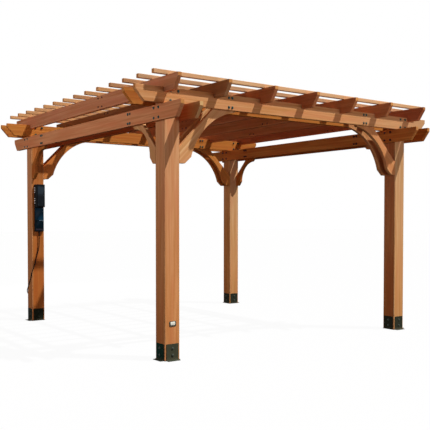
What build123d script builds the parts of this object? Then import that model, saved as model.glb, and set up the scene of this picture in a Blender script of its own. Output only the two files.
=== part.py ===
"""Free-standing timber pergola: four posts, double beams, rafters, slats and curved knee braces.

Frame: origin on the ground at the centre of the four posts, +X along the upper beams,
+Y along the lower beams, +Z up. All sizes are in millimetres.
"""
from build123d import *
import math
import os

# ---------------------------------------------------------------- driving sizes
# Posts
post_width = 150.0  # square section of a solid timber post
post_spacing_x = 2960.0  # between post centres, along the upper beams
post_spacing_y = 2960.0  # between post centres, along the lower beams
post_top_clearance = 5.0  # from the post's top to the underside of the rafters

# Boards: every beam, rafter and brace is cut from stock of one thickness
board_thickness = 38.0
beam_depth = 135.0
rafter_depth = 135.0
beam_clearance = 2052.0  # from the ground to the underside of the lower beams

# Beam and rafter ends: a short plumb lip above a slanted cut
lower_beam_overhang = 380.0  # from a post's centre to the end of the board
lower_beam_lip = 38.0
lower_beam_cut = 74.0
upper_beam_overhang = 380.0
upper_beam_lip = 38.0
upper_beam_cut = 88.0
rafter_overhang = 328.0
rafter_lip = 30.0
rafter_cut = 71.0

# Rafters, notched over the upper beams
rafter_count = 7
rafter_outset = 87.0  # from a post's centre out to the end rafter's centre
rafter_notch = 43.0
notch_clearance = 1.0  # on each side of a board in a notch

# Slats, laid across the rafters
slat_section = 36.0
slat_count = 14
slat_outset = 158.0  # from a post's centre out to the end slat's centre
slat_overhang = 155.0  # beyond the centre of the end rafters

# Knee braces: pairs of boards under the upper beams and single boards under the lower ones,
# flush with the post's faces. Each board has a dog-eared tail at the post, an arched lower edge
# that ends in a chamfer at the beams, and a straight upper edge.
brace_drop = 358.0  # from the underside of the lower beams down to the brace's tail
brace_tail_height = 58.0
brace_heel_height = 141.0  # from the tail's end up to the straight edge, at the post
brace_top_clearance = 10.0  # below the top of the beams that hold it
# Places in a brace: out from the post's face, and up from the tail's end
upper_brace_tail_width = 57.0
upper_brace_arc_out = 694.0
upper_brace_arc_up = -101.0
upper_brace_arc_radius = 592.0
upper_brace_arc_stop = 600.0
upper_brace_reach = 610.0
lower_brace_tail_width = 46.0
lower_brace_arc_out = 360.0
lower_brace_arc_up = 62.0
lower_brace_arc_radius = 265.0
lower_brace_arc_stop = 360.0
lower_brace_reach = 455.0

# Post bases: a steel shoe round the post, with a flange on each outward side
shoe_height = 144.0
shoe_thickness = 4.0
shoe_plate_width = 124.0
flange_reach = 38.0  # beyond the post's face
flange_width = 124.0

# Blank plate on the front face of the front left post
badge_offset = 3.5  # sideways from the post's centre line
badge_bottom = 292.0
badge_width = 69.0
badge_height = 46.0
badge_thickness = 3.0

# Power unit, on the inner face of the rear left post
unit_bottom = 1067.0
housing_offset = 4.0  # sideways from the post's centre line
housing_width = 102.0
housing_depth = 84.0
housing_height = 269.0
panel_thickness = 6.0
panel_margin = 5.0  # from the panel's edge to the housing's
cover_offset = 8.5  # sideways from the post's centre line
cover_width = 111.0
cover_depth = 28.0
cover_height = 289.0

# Supply cord, from the cover's underside round the back of the same post to its plug
cord_diameter = 10.0
clip_width = 22.0
clip_height = 16.0
clip_gap = 0.3  # between the clip's saddle and the cord
clip_height_above_ground = 262.0
plug_width = 26.0
plug_depth = 20.0
plug_height = 48.0
pin_width = 6.5
pin_thickness = 1.5
pin_length = 16.0
pin_spacing = 12.5
# Points of the route: sideways and rearwards from the post's centre, and up from the ground
cord_route = [
    (8.0, -89.0, 1067.0),
    (8.0, -89.0, 1012.0),
    (6.5, -89.0, 950.0),
    (4.0, -88.5, 884.0),
    (-11.0, -88.0, 818.0),
    (-29.0, -87.0, 752.0),
    (-43.0, -86.0, 690.0),
    (-60.0, -86.5, 640.0),
    (-84.0, -85.0, 590.0),
    (-80.5, -57.0, 540.0),
    (-80.5, -18.0, 490.0),
    (-80.5, 18.0, 440.0),
    (-80.5, 50.0, 396.0),
    (-82.0, 84.0, 350.0),
    (-62.0, 88.0, 304.0),
    (-46.0, 87.0, 262.0),
    (-38.0, 95.0, 206.0),
    (-38.0, 95.0, 150.0),
]

# ---------------------------------------------------------------- derived sizes
half_post = post_width / 2
half_board = board_thickness / 2
post_x = post_spacing_x / 2
post_y = post_spacing_y / 2
lower_beam_top = beam_clearance + beam_depth
upper_beam_top = lower_beam_top + beam_depth
rafter_bottom = upper_beam_top - rafter_notch
rafter_top = rafter_bottom + rafter_depth
post_height = rafter_bottom - post_top_clearance
beam_side = half_post + half_board  # from a post's centre to a beam board's mid-plane
brace_bottom = beam_clearance - brace_drop
rafter_spread = post_spacing_x + 2 * rafter_outset
slat_spread = post_spacing_y + 2 * slat_outset
rafter_places = [rafter_spread * (i / (rafter_count - 1) - 0.5) for i in range(rafter_count)]
slat_places = [slat_spread * (i / (slat_count - 1) - 0.5) for i in range(slat_count)]
unit_face = post_y - half_post  # the post's face that carries the power unit

corners = {
    "front_left": (-1, -1),
    "front_right": (1, -1),
    "rear_left": (-1, 1),
    "rear_right": (1, 1),
}

along_x = Plane(origin=(0, 0, 0), x_dir=(1, 0, 0), z_dir=(0, -1, 0))  # profile in X and Z
along_y = Plane(origin=(0, 0, 0), x_dir=(0, 1, 0), z_dir=(1, 0, 0))  # profile in Y and Z


def block(size_x, size_y, size_z, centre_x, centre_y, bottom):
    """Upright block by its size, its centre in plan and its bottom."""
    return Pos(centre_x, centre_y, bottom + size_z / 2) * Box(size_x, size_y, size_z)


def board_profile(half_length, bottom, depth, lip, cut):
    """Side outline of a board whose two ends have a plumb lip above a slanted cut."""
    top = bottom + depth
    return Polyline(
        (-half_length, top),
        (half_length, top),
        (half_length, top - lip),
        (half_length - cut, bottom),
        (-half_length + cut, bottom),
        (-half_length, top - lip),
        close=True,
    )


def extruded(plane, outline, middle):
    """Board of the stock's thickness, with its mid-plane at the given place across the plane."""
    face = make_face(plane * outline)
    solid = extrude(face, amount=half_board, both=True)
    return Pos(*(plane.z_dir * middle)) * solid


def post(side_x, side_y):
    """One solid timber post, standing on the ground inside its steel shoe."""
    return block(post_width, post_width, post_height, side_x * post_x, side_y * post_y, 0)


def post_shoe(side_x, side_y):
    """Steel shoe: a plate on each face of the post, and a flange out from the two outward faces."""
    reach = half_post + shoe_thickness
    shoe = block(2 * reach, shoe_plate_width, shoe_height, 0, 0, 0)
    shoe += block(shoe_plate_width, 2 * reach, shoe_height, 0, 0, 0)
    shoe += block(2 * reach, 2 * reach, shoe_thickness, 0, 0, 0)
    flange_middle = half_post + flange_reach / 2
    shoe += block(flange_reach, flange_width, shoe_thickness, side_x * flange_middle, 0, 0)
    shoe += block(flange_width, flange_reach, shoe_thickness, 0, side_y * flange_middle, 0)
    shoe -= block(post_width, post_width, shoe_height * 2, 0, 0, 0)
    return Pos(side_x * post_x, side_y * post_y, 0) * shoe


def lower_beam(middle_x):
    """Lower beam board along Y, against one face of two posts."""
    half_length = post_y + lower_beam_overhang
    outline = board_profile(half_length, beam_clearance, beam_depth, lower_beam_lip, lower_beam_cut)
    return extruded(along_y, outline, middle_x)


def upper_beam(middle_y):
    """Upper beam board along X, resting on the lower beams."""
    half_length = post_x + upper_beam_overhang
    outline = board_profile(half_length, lower_beam_top, beam_depth, upper_beam_lip, upper_beam_cut)
    return extruded(along_x, outline, -middle_y)


def rafter(middle_x):
    """Rafter along Y, notched down over the four upper beam boards."""
    half_length = post_y + rafter_overhang
    outline = board_profile(half_length, rafter_bottom, rafter_depth, rafter_lip, rafter_cut)
    solid = extruded(along_y, outline, middle_x)
    notch_width = board_thickness + 2 * notch_clearance
    for side in (-1, 1):
        for face in (-1, 1):
            notch_y = side * post_y + face * beam_side
            solid -= block(post_width, notch_width, rafter_notch, middle_x, notch_y, rafter_bottom)
    return solid


def slat(middle_y):
    """Square slat along X, lying on the rafters."""
    length = rafter_spread + 2 * slat_overhang
    return block(length, slat_section, slat_section, 0, middle_y, rafter_top)


def brace_outline(tail_width, arc_out, arc_up, radius, arc_stop, reach, top):
    """Outline of a knee brace: out from the post's face, and up from the ground."""
    heel = brace_bottom + brace_heel_height
    tail_top = brace_bottom + brace_tail_height
    centre = (arc_out, brace_bottom + arc_up)
    arc_start_angle = math.degrees(math.asin((tail_top - centre[1]) / radius))
    arc_end_angle = math.degrees(math.asin((arc_out - arc_stop) / radius))
    arc = CenterArc(centre, radius, 90 + arc_end_angle, 90 - arc_start_angle - arc_end_angle)
    arc_end = arc @ 0
    arc_start = arc @ 1
    upper = Polyline(
        arc_start,
        (tail_width, brace_bottom),
        (0, brace_bottom),
        (0, heel),
        (top - heel, top),
        (reach, top),
        (reach, arc_end.Y + reach - arc_stop),
        arc_end,
    )
    return arc + upper


def brace_board(face_x, face_y, inward, outline, outward):
    """Brace board running inward from a post's inner face, flush with the face that looks outward."""
    across = inward.cross(Vector(0, 0, 1))
    plane = Plane(origin=(face_x, face_y, 0), x_dir=inward, z_dir=across)
    board = extrude(make_face(plane * outline), amount=half_board, both=True)
    return Pos(*(outward * (half_post - half_board))) * board


def upper_brace(side_x, side_y):
    """Knee brace of two boards under an upper beam, cut back under any rafter that crosses it."""
    outline = brace_outline(
        upper_brace_tail_width, upper_brace_arc_out, upper_brace_arc_up, upper_brace_arc_radius,
        upper_brace_arc_stop, upper_brace_reach, upper_beam_top - brace_top_clearance,
    )
    face_x = side_x * (post_x - half_post)
    boards = [
        brace_board(face_x, side_y * post_y, Vector(-side_x, 0, 0), outline, Vector(0, side, 0))
        for side in (-1, 1)
    ]
    slot_width = board_thickness + 2 * notch_clearance
    slot_bottom = rafter_bottom - notch_clearance
    for middle_x in rafter_places:
        slot = block(slot_width, post_width, rafter_depth, middle_x, side_y * post_y, slot_bottom)
        boards = [board - slot for board in boards]
    return Compound(children=boards)


def lower_brace(side_x, side_y):
    """Knee brace of one board under a lower beam, against its outer board."""
    outline = brace_outline(
        lower_brace_tail_width, lower_brace_arc_out, lower_brace_arc_up, lower_brace_arc_radius,
        lower_brace_arc_stop, lower_brace_reach, lower_beam_top - brace_top_clearance,
    )
    face_y = side_y * (post_y - half_post)
    return brace_board(side_x * post_x, face_y, Vector(0, -side_y, 0), outline, Vector(side_x, 0, 0))


def badge_plate():
    """Blank plate on the front left post's front face."""
    middle_y = -post_y - half_post - badge_thickness / 2
    return block(badge_width, badge_thickness, badge_height, -post_x + badge_offset, middle_y, badge_bottom)


def unit_box(width, depth, height, offset, front_gap, bottom):
    """Block of the power unit, whose back stands a gap in front of the post's face."""
    middle_y = unit_face - front_gap - depth / 2
    return block(width, depth, height, -post_x + offset, middle_y, bottom)


def cord_points():
    """The cord's route in the part's frame."""
    return [Vector(x - post_x, y + post_y, z) for x, y, z in cord_route]


def cord_radii(points):
    """Bend radius at each inner point of the route: as large as its two runs allow."""
    radii = []
    for before, here, after in zip(points, points[1:], points[2:]):
        run_in = here - before
        run_out = after - here
        half_turn = math.radians(run_in.get_angle(run_out)) / 2
        radii.append(0.45 * min(run_in.length, run_out.length) / math.tan(half_turn))
    return radii


def supply_cord(points, radii):
    """The cord, round in section, along straight runs joined by tangent arcs."""
    path = FilletPolyline(*points, radius=radii)
    start = Plane(origin=path @ 0, z_dir=path % 0)
    return sweep(start * Circle(cord_diameter / 2), path=path)


def cord_clip(points):
    """Saddle on the post's rear face that the cord lies against."""
    place = min(points, key=lambda point: abs(point.Z - clip_height_above_ground))
    rear_face = post_y + half_post
    depth = place.Y - cord_diameter / 2 - clip_gap - rear_face
    bottom = clip_height_above_ground - clip_height / 2
    return block(clip_width, depth, clip_height, place.X, rear_face + depth / 2, bottom)


def supply_plug(points):
    """Moulded plug with two flat pins, hanging on the cord's end behind the post."""
    top = points[-1]
    plug = block(plug_width, plug_depth, plug_height, top.X, top.Y, top.Z - plug_height)
    for side in (-1, 1):
        pin_x = top.X + side * pin_spacing / 2
        plug += block(pin_thickness, pin_width, pin_length, pin_x, top.Y, top.Z - plug_height - pin_length)
    return plug


# ---------------------------------------------------------------- assembly
nodes = {}
for name, (side_x, side_y) in corners.items():
    nodes[f"post_{name}"] = post(side_x, side_y)
    nodes[f"post_shoe_{name}"] = post_shoe(side_x, side_y)
    nodes[f"brace_upper_{name}"] = upper_brace(side_x, side_y)
    nodes[f"brace_lower_{name}"] = lower_brace(side_x, side_y)

for side_name, side in (("left", -1), ("right", 1)):
    nodes[f"lower_beam_{side_name}_outer"] = lower_beam(side * (post_x + beam_side))
    nodes[f"lower_beam_{side_name}_inner"] = lower_beam(side * (post_x - beam_side))

for side_name, side in (("front", -1), ("rear", 1)):
    nodes[f"upper_beam_{side_name}_outer"] = upper_beam(side * (post_y + beam_side))
    nodes[f"upper_beam_{side_name}_inner"] = upper_beam(side * (post_y - beam_side))

for number, middle_x in enumerate(rafter_places, start=1):
    nodes[f"rafter_{number:02d}"] = rafter(middle_x)

for number, middle_y in enumerate(slat_places, start=1):
    nodes[f"slat_{number:02d}"] = slat(middle_y)

nodes["badge_plate"] = badge_plate()

housing_bottom = unit_bottom + cover_height
nodes["power_unit_housing"] = unit_box(
    housing_width, housing_depth, housing_height, housing_offset, 0, housing_bottom
)
nodes["power_unit_panel"] = unit_box(
    housing_width - 2 * panel_margin, panel_thickness, housing_height - 2 * panel_margin,
    housing_offset, housing_depth, housing_bottom + panel_margin,
)
nodes["power_unit_cover"] = unit_box(cover_width, cover_depth, cover_height, cover_offset, 0, unit_bottom)

route = cord_points()
bends = cord_radii(route)
nodes["supply_cord"] = supply_cord(route, bends)
nodes["supply_plug"] = supply_plug(route)
nodes["cord_clip"] = cord_clip(route)

cord_length = FilletPolyline(*route, radius=bends).length
cord_section = math.pi * cord_diameter**2 / 4
print("cord bend radii, mm:", [round(radius) for radius in bends])
print(f"cord length {cord_length:.1f} mm, volume {nodes['supply_cord'].volume:.0f} mm3,",
      f"section times length {cord_section * cord_length:.0f} mm3")

os.makedirs("parts", exist_ok=True)
for name, shape in nodes.items():
    export_step(shape, f"parts/{name}.step")
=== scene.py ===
"""Garden pergola in stained western red cedar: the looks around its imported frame.

Four square posts stand in steel shoes and carry doubled beams, curved corner braces, seven
rafters and fourteen slats. One post has a weatherproof power unit with a short lead.
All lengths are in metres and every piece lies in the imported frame.
"""

from __future__ import annotations

import logging
import math
from dataclasses import dataclass, field, replace
from enum import Enum
from typing import Any, ClassVar, Iterable, Sequence

import bmesh
import bpy
from mathutils import Matrix, Vector


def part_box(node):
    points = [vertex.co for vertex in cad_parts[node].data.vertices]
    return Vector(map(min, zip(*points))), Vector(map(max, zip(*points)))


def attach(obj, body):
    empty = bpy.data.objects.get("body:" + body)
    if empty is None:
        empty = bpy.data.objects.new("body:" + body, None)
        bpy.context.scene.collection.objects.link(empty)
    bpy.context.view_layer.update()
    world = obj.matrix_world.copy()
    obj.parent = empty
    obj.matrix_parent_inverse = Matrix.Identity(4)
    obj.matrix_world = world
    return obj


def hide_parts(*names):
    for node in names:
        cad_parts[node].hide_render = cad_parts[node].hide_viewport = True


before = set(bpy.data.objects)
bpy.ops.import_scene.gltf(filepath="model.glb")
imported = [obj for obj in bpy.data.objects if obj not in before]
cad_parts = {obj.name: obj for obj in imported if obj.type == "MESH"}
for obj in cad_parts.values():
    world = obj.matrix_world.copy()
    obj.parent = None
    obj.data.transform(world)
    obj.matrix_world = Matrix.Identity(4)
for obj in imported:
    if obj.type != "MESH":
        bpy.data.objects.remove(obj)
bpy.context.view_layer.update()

LOG = logging.getLogger("pergola")
Rgba = tuple[float, float, float, float]

# Faces that meet at less than the first are shaded as one, at less than the second they are one
# flat side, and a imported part's edges that turn by more than the third are eased.
SMOOTH_ANGLE = math.radians(40)
FLAT_ANGLE = math.radians(0.5)
EASED_ANGLE = math.radians(35)
# Points this close are one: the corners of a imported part's loose triangles, or of a turned shape.
WELD_REACH = 1e-5
TURNED_REACH = 1e-6
# A face looks straight to the front where its normal has more than this share of that way.
STRAIGHT_AHEAD = 0.999


# ---------------------------------------------------------------- colours and nodes


def linear(code: str) -> Rgba:
    """Turns an sRGB hex colour to linear values.

    Args:
        code: Six hex digits after a hash sign.

    Returns:
        The colour as linear red, green and blue, with an alpha of 1.
    """
    values = [int(code[i : i + 2], 16) / 255 for i in (1, 3, 5)]
    return (*(v / 12.92 if v <= 0.04045 else ((v + 0.055) / 1.055) ** 2.4 for v in values), 1.0)


def add_node(
    tree: bpy.types.NodeTree, kind: str, links: dict[Any, Any] | None = None, **settings: Any
) -> Any:
    """Adds one shader node with its settings and links.

    Args:
        tree: The node tree that gets the node.
        kind: The node's type name without its ShaderNode prefix.
        links: Input name or number, and the value or the output socket that goes into it.
        **settings: The node's own properties, such as its operation.

    Returns:
        The node.
    """
    node = tree.nodes.new("ShaderNode" + kind)
    for name, value in settings.items():
        setattr(node, name, value)
    for key, value in (links or {}).items():
        if isinstance(value, bpy.types.NodeSocket):
            tree.links.new(value, node.inputs[key])
        else:
            node.inputs[key].default_value = value
    return node


def tint_faces(tree: bpy.types.NodeTree, colour: Any, tint: str, front: bool) -> Any:
    """Tints the faces that look to the front, or all the others; a darker tint on the others is painted
    shade.

    Args:
        tree: The material's node tree.
        colour: The colour so far.
        tint: The tint's hex colour; it multiplies.
        front: Whether the front faces get it; otherwise the others do.

    Returns:
        The output with the tinted faces.
    """
    normal = add_node(tree, "NewGeometry").outputs["True Normal"]
    forward = add_node(tree, "SeparateXYZ", {"Vector": normal}).outputs["Y"]
    none, full = (-0.6, -0.8) if front else (-0.8, -0.6)
    span = {"Value": forward, "From Min": none, "From Max": full}
    tinted = {0: add_node(tree, "MapRange", span).outputs["Result"], 6: colour, 7: linear(tint)}
    return add_node(tree, "Mix", tinted, data_type="RGBA", blend_type="MULTIPLY").outputs[2]


# ---------------------------------------------------------------- finishes


class Grain(Enum):
    """The way a timber's fibres run, as the turn that lays them along the pattern's Z axis."""

    UPRIGHT = (0.0, 0.0, 0.0)
    SIDEWAYS = (0.0, math.radians(-90), 0.0)
    REARWARDS = (math.radians(90), 0.0, 0.0)
    RISING_RIGHT = (0.0, math.radians(-45), 0.0)
    RISING_LEFT = (0.0, math.radians(45), 0.0)
    RISING_REAR = (math.radians(45), 0.0, 0.0)
    RISING_FRONT = (math.radians(-45), 0.0, 0.0)


class Stain(Enum):
    """Tones that one oil stain takes on different boards: light streak, dark streak, ruddy patch."""

    HONEY = ("#DCA46F", "#C58650", "#CF885A")
    MAUVE = ("#D29B73", "#BC7E54", "#C5805E")
    ROSE = ("#E2A677", "#CA875A", "#D7885D")
    RUSSET = ("#D59269", "#BF774B", "#C87955")
    DRAB = ("#BE9570", "#AA7D52", "#B0805C")
    BEIGE = ("#D9AF7B", "#C28F59", "#CC9164")
    PALE = ("#E5B783", "#CE965F", "#D8986A")
    STRAW = ("#DDAE7C", "#CB9866", "#D49A6A")
    BLOND = ("#E0B78C", "#CEA073", "#D7A278")
    TAWNY = ("#D9924E", "#C27737", "#CC793F")
    GINGER = ("#D18B44", "#B56E31", "#BE6B35")
    AMBER = ("#C47D3E", "#A9632C", "#B26030")
    OCHRE = ("#D59451", "#B9763A", "#C2723F")
    FADED = ("#DAA673", "#C38852", "#CD8A5C")
    FAWN = ("#DEA87A", "#C78A58", "#D18C63")
    HAY = ("#D9B486", "#C29361", "#CC956D")
    CREAM = ("#E5BD8E", "#CD9B67", "#D79D73")
    SIENNA = ("#C97F58", "#B56A40", "#BC6D48")
    SAWN_END = ("#D29A5E", "#B0703A", "#C07F48")


@dataclass(frozen=True)
class Finish:
    """What every finish has: a name, and a shader whose plain values sit on its own sockets."""

    name: str
    roughness: float = 0.5
    metallic: float = 0.0
    specular: float = 0.5

    def material(self) -> bpy.types.Material:
        """Gives the finish's material, made on its first use.

        Returns:
            The material, named after the finish.
        """
        found = bpy.data.materials.get(self.name)
        if found is None:
            found = bpy.data.materials.new(self.name)
            found.use_nodes = True
            tree = found.node_tree
            tree.nodes.clear()
            plain = {"Roughness": self.roughness, "Metallic": self.metallic}
            shader = add_node(tree, "BsdfPrincipled", plain)
            if not self.metallic:
                shader.inputs["Specular IOR Level"].default_value = self.specular
            add_node(tree, "OutputMaterial", {"Surface": shader.outputs["BSDF"]})
            self.build(tree, shader)
        return found

    def build(self, tree: bpy.types.NodeTree, shader: bpy.types.Node) -> None:
        """Adds the finish's pattern to its shader; each kind of finish has its own."""
        raise NotImplementedError

    def texture(
        self,
        tree: bpy.types.NodeTree,
        shader: bpy.types.Node,
        pattern: Any,
        swing: tuple[float, float],
        grain: float,
        relief: tuple[float, float],
    ) -> None:
        """Varies the shader's roughness with a pattern and gives it a fine relief.

        Args:
            tree: The material's node tree.
            shader: Its Principled shader.
            pattern: The pattern's output.
            swing: How much smoother and how much rougher the pattern makes it.
            grain: The size of the relief's grains, in metres.
            relief: The relief's strength and its depth in metres.
        """
        smoother, rougher = self.roughness - swing[0], self.roughness + swing[1]
        rough = add_node(tree, "MapRange", {"Value": pattern, "To Min": smoother, "To Max": rougher})
        tree.links.new(rough.outputs["Result"], shader.inputs["Roughness"])
        place = add_node(tree, "TexCoord").outputs["Object"]
        fine = {"Vector": place, "Scale": 1 / grain, "Detail": 1.0}
        grains = add_node(tree, "TexNoise", fine).outputs["Fac"]
        strength, depth = relief
        bump = add_node(tree, "Bump", {"Strength": strength, "Distance": depth, "Height": grains})
        tree.links.new(bump.outputs["Normal"], shader.inputs["Normal"])


@dataclass(frozen=True)
class BoardRow:
    """A row of evenly spaced boards, each with a tone of its own.

    The darkest and the lightest are shares of the stain's own tone, and the seed picks which
    board gets which between them.
    """

    axis: str
    first: float
    spacing: float
    seed: int
    darkest: float
    lightest: float


@dataclass(frozen=True)
class Fade:
    """A board's colour that fades towards another between two places along an axis."""

    axis: str
    start: float
    end: float
    colour: str
    share: float = 0.8


@dataclass(frozen=True)
class PostWear:
    """How a post's colour changes: worn pale along its upright corners, warmer and duller towards the
    ground.

    The middle is how far the post's own is from the pergola's along X and Y, and each pair of
    heights runs from where a change starts to where it is full.
    """

    middle: tuple[float, float]
    half_width: float
    strip: float = 0.014
    strip_colour: str = "#B8905E"
    strip_share: float = 0.3
    strip_border: float = 0.003
    frayed: float = 0.012
    warm_tint: str = "#FFEED3"
    warm_between: tuple[float, float] = (1.8, 0.25)
    foot_colour: str = "#8E6038"
    foot_share: float = 0.15
    foot_between: tuple[float, float] = (0.5, 0.05)


@dataclass(frozen=True)
class StainedCedar(Finish):
    """Western red cedar, planed and oil-stained: long soft streaks, ruddy patches, few knots.

    Real rings are 2 to 4 mm apart and real fibres finer; the streaks are drawn 21 mm wide and
    the ring lines 17 mm apart, so that they show on a frame this large. The oil soaks in and
    leaves the wood matt, so it has no specular level.

    A board of a row gets a tone of its own, and a fade, a post's wear, a tint of the front or a darker tint
    of the other faces, which is painted shade, is laid over the grain where the board has one.
    """

    roughness: float = 0.62
    specular: float = 0.0
    grain: Grain = Grain.UPRIGHT
    stain: Stain = Stain.HONEY
    streak: float = 0.021
    ring: float = 0.017
    end_ring: float = 0.008
    patch: float = 0.055
    hair: float = 0.003
    stretch: float = 0.03
    bend: float = 0.010
    ruddy_share: float = 0.75
    late_share: float = 0.26
    hair_share: float = 0.18
    hair_shade: float = 0.62
    knots: float = 2.9
    knot_colour: str = "#6E3A1C"
    rubbed: float = 0.0
    row: BoardRow | None = None
    fade: Fade | None = None
    wear: PostWear | None = None
    front_tint: str = ""
    # A darker tint on the faces that don't look to the front is painted shade.
    other_tint: str = ""

    # One ring of the wave texture is this long at a scale of 1.
    WAVE_RING: ClassVar[float] = 0.314

    def build(self, tree: bpy.types.NodeTree, shader: bpy.types.Node) -> None:
        """Builds the side grain, the end grain, the wear and the relief.

        Args:
            tree: The material's node tree.
            shader: Its Principled shader.
        """
        place = add_node(tree, "TexCoord").outputs["Object"]
        bent = self.bend_fibres(tree, place)
        squeezed = {0: bent, 1: (1.0, 1.0, self.stretch)}
        fibre = add_node(tree, "VectorMath", squeezed, operation="MULTIPLY").outputs[0]
        streaks = add_node(
            tree, "TexNoise", {"Vector": fibre, "Scale": 1 / self.streak, "Detail": 3.0, "Roughness": 0.55}
        ).outputs["Fac"]
        hairs = add_node(
            tree, "TexNoise", {"Vector": fibre, "Scale": 1 / self.hair, "Detail": 2.0, "Roughness": 0.6}
        ).outputs["Fac"]
        rings = add_node(
            tree,
            "TexWave",
            {
                "Vector": fibre,
                "Scale": self.WAVE_RING / self.ring,
                "Distortion": 3.0,
                "Detail": 2.0,
                "Detail Scale": 1.4,
                "Detail Roughness": 0.5,
            },
            wave_type="RINGS",
            rings_direction="Z",
        ).outputs["Fac"]

        colour = self.side_grain(tree, bent, streaks, rings, hairs)
        colour = self.add_knots(tree, bent, colour)
        colour = self.end_grain(tree, bent, colour)
        for tint, front in ((self.front_tint, True), (self.other_tint, False)):
            if tint:
                colour = tint_faces(tree, colour, tint, front)
        parts = add_node(tree, "SeparateXYZ", {"Vector": place}).outputs
        if self.fade:
            colour = self.fade_along(tree, parts, colour)
        if self.wear:
            colour = self.wear_post(tree, parts, colour, streaks)
        if self.row:
            colour = self.vary_boards(tree, parts, colour)
        tree.links.new(colour, shader.inputs["Base Color"])

        rougher, smoother = self.roughness + 0.08, self.roughness - 0.08
        gloss = add_node(tree, "MapRange", {"Value": streaks, "To Min": rougher, "To Max": smoother})
        tree.links.new(gloss.outputs["Result"], shader.inputs["Roughness"])
        relief = add_node(tree, "Math", {0: hairs, 1: 0.6, 2: rings}, operation="MULTIPLY_ADD").outputs[0]
        bump = add_node(tree, "Bump", {"Strength": 0.3, "Distance": 0.0007, "Height": relief})
        tree.links.new(bump.outputs["Normal"], shader.inputs["Normal"])

    def rub(self, code: str) -> Rgba:
        """A hex colour, lightened by the share of the stain that is rubbed off, which on eased edges is
        also painted highlight.
        """
        return (*(min(1.0, value * (1 + self.rubbed)) for value in linear(code)[:3]), 1.0)

    def bend_fibres(self, tree: bpy.types.NodeTree, place: Any) -> Any:
        """Lays the pattern along the fibres, which wander a few millimetres over each half metre.

        Args:
            tree: The material's node tree.
            place: The place's output.

        Returns:
            The output with the place in the board, its Z along the fibres.
        """
        board = add_node(tree, "Mapping", {"Vector": place, "Rotation": self.grain.value}).outputs["Vector"]
        slow = add_node(tree, "VectorMath", {0: board, 1: (5.0, 5.0, 1.6)}, operation="MULTIPLY")
        wander = add_node(tree, "TexNoise", {"Vector": slow.outputs[0], "Scale": 1.0, "Detail": 1.5})
        middle = {0: wander.outputs["Color"], 1: (0.5, 0.5, 0.5)}
        shift = add_node(tree, "VectorMath", middle, operation="SUBTRACT")
        aside = {0: shift.outputs[0], 1: (self.bend, self.bend, 0.0), 2: board}
        return add_node(tree, "VectorMath", aside, operation="MULTIPLY_ADD").outputs[0]

    def side_grain(self, tree: bpy.types.NodeTree, bent: Any, streaks: Any, rings: Any, hairs: Any) -> Any:
        """Colours the long faces: streaks, ruddy patches, late wood and fine dark fibres.

        Args:
            tree: The material's node tree.
            bent: The place in the board.
            streaks: The streaks' output.
            rings: The growth rings' output.
            hairs: The fine fibres' output.

        Returns:
            The output with the colour.
        """
        light, dark, ruddy = (self.rub(code) for code in self.stain.value)
        shade = (*(self.hair_shade * value for value in dark[:3]), 1.0)
        wide = add_node(tree, "VectorMath", {0: bent, 1: (1.0, 1.0, 0.1)}, operation="MULTIPLY").outputs[0]
        patches = add_node(tree, "TexNoise", {"Vector": wide, "Scale": 1 / self.patch, "Detail": 2.0})
        tone = add_node(
            tree,
            "MapRange",
            {"Value": streaks, "From Min": 0.32, "From Max": 0.70},
            interpolation_type="SMOOTHSTEP",
        ).outputs["Result"]
        colour = add_node(tree, "Mix", {0: tone, 6: dark, 7: light}, data_type="RGBA").outputs[2]
        for pattern, start, full, share, over in (
            (patches.outputs["Fac"], 0.42, 0.68, self.ruddy_share, ruddy),
            (rings, 0.62, 1.0, self.late_share, dark),
            (hairs, 0.55, 0.75, self.hair_share, shade),
        ):
            part = add_node(
                tree, "MapRange", {"Value": pattern, "From Min": start, "From Max": full, "To Max": share}
            ).outputs["Result"]
            colour = add_node(tree, "Mix", {0: part, 6: colour, 7: over}, data_type="RGBA").outputs[2]
        return colour

    def add_knots(self, tree: bpy.types.NodeTree, bent: Any, colour: Any) -> Any:
        """Adds knots, about a third of a metre apart and up to 25 mm across, in ruddy halos.

        Args:
            tree: The material's node tree.
            bent: The place in the board.
            colour: The colour so far.

        Returns:
            The output with the knots.
        """
        cells = add_node(tree, "TexVoronoi", {"Vector": bent, "Scale": self.knots}).outputs["Distance"]
        halo = (0.08, 0.03, 0.35, self.rub(self.stain.value[2]))
        core = (0.036, 0.02, 0.45, linear(self.knot_colour))
        for rim, full, share, over in (halo, core):
            part = add_node(
                tree, "MapRange", {"Value": cells, "From Min": rim, "From Max": full, "To Max": share}
            ).outputs["Result"]
            colour = add_node(tree, "Mix", {0: part, 6: colour, 7: over}, data_type="RGBA").outputs[2]
        return colour

    def end_grain(self, tree: bpy.types.NodeTree, bent: Any, colour: Any) -> Any:
        """Colours the faces across the fibres, where rings drawn 8 mm apart show in paler wood.

        Args:
            tree: The material's node tree.
            bent: The place in the board.
            colour: The long faces' colour.

        Returns:
            The output with both.
        """
        normal = add_node(tree, "NewGeometry").outputs["True Normal"]
        turned = {"Vector": normal, "Rotation": self.grain.value}
        along = add_node(tree, "Mapping", turned, vector_type="VECTOR").outputs["Vector"]
        facing = add_node(tree, "SeparateXYZ", {"Vector": along}).outputs["Z"]
        facing = add_node(tree, "Math", {0: facing}, operation="ABSOLUTE").outputs[0]
        is_end = add_node(tree, "MapRange", {"Value": facing, "From Min": 0.8, "From Max": 0.95})
        rings = add_node(
            tree,
            "TexWave",
            {"Vector": bent, "Scale": self.WAVE_RING / self.end_ring, "Distortion": 1.6, "Detail": 1.0},
            wave_type="RINGS",
            rings_direction="Z",
        ).outputs["Fac"]
        light, dark, _ = (linear(code) for code in Stain.SAWN_END.value)
        end = add_node(tree, "Mix", {0: rings, 6: light, 7: dark}, data_type="RGBA").outputs[2]
        both = {0: is_end.outputs["Result"], 6: colour, 7: end}
        return add_node(tree, "Mix", both, data_type="RGBA").outputs[2]

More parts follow.
